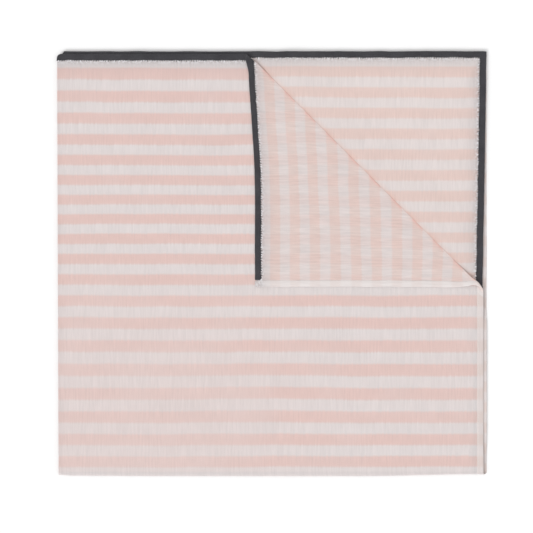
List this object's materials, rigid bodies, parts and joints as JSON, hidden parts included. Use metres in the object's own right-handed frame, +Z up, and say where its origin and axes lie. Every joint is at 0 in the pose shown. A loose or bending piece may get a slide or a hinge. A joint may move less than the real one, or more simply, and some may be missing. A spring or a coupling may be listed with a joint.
{
  "type": "folded muslin baby wrap",
  "caption": "Square striped muslin baby wrap with charcoal edging, folded in quarters and laid flat, one corner of the top layer turned back.",
  "frame": {"origin": "centre of the folded cloth's footprint, on the surface that it lies on", "axes": "+X along the folded width, away from the side fold; +Y along the depth, away from the bottom fold; +Z up, out of the stack"},
  "size_m": [0.6, 0.592, 0.0082],
  "materials": {
    "striped_muslin": "matt",
    "charcoal_edging": "matt",
    "plain_hem": "matt"
  },
  "bodies": {
    "back_leaf": {"ply_4_cloth": "striped_muslin", "ply_4_side_hem": "plain_hem", "ply_4_top_hem": "plain_hem", "ply_3_cloth": "striped_muslin", "ply_3_side_edging": "charcoal_edging", "ply_3_top_hem": "plain_hem", "back_side_fold": "striped_muslin", "back_hem_bend": "plain_hem", "outer_bottom_fold": "striped_muslin", "outer_hem_bend": "plain_hem", "inner_bottom_fold": "striped_muslin", "inner_edging_bend": "charcoal_edging"},
    "front_leaf": {"ply_2_cloth": "striped_muslin", "ply_2_side_edging": "charcoal_edging", "ply_2_top_edging": "charcoal_edging", "ply_1_cloth": "striped_muslin", "ply_1_side_hem": "plain_hem", "ply_1_top_edging": "charcoal_edging", "front_side_fold": "striped_muslin", "front_edging_bend": "charcoal_edging", "crease_fold": "striped_muslin", "crease_edging_bend": "charcoal_edging", "crease_hem_bend": "plain_hem"},
    "corner_flap": {"flap_cloth": "striped_muslin", "flap_edging": "charcoal_edging", "flap_hem": "plain_hem"}
  },
  "joints": [
    {"name": "leaf_unfold", "type": "hinge", "parent": "back_leaf", "child": "front_leaf", "pos_m": [0, -0.29275, 0.00325], "axis": [1, 0, 0], "range_deg": [0, 179.5], "deforming": ["outer_bottom_fold", "outer_hem_bend", "inner_bottom_fold", "inner_edging_bend"]},
    {"name": "corner_turn", "type": "hinge", "parent": "front_leaf", "child": "corner_flap", "pos_m": [-0.034, 0.292, 0.00665], "axis": [-0.7071, 0.7071, 0], "range_deg": [0, 179.5], "deforming": ["crease_fold", "crease_edging_bend", "crease_hem_bend"]}
  ]
}
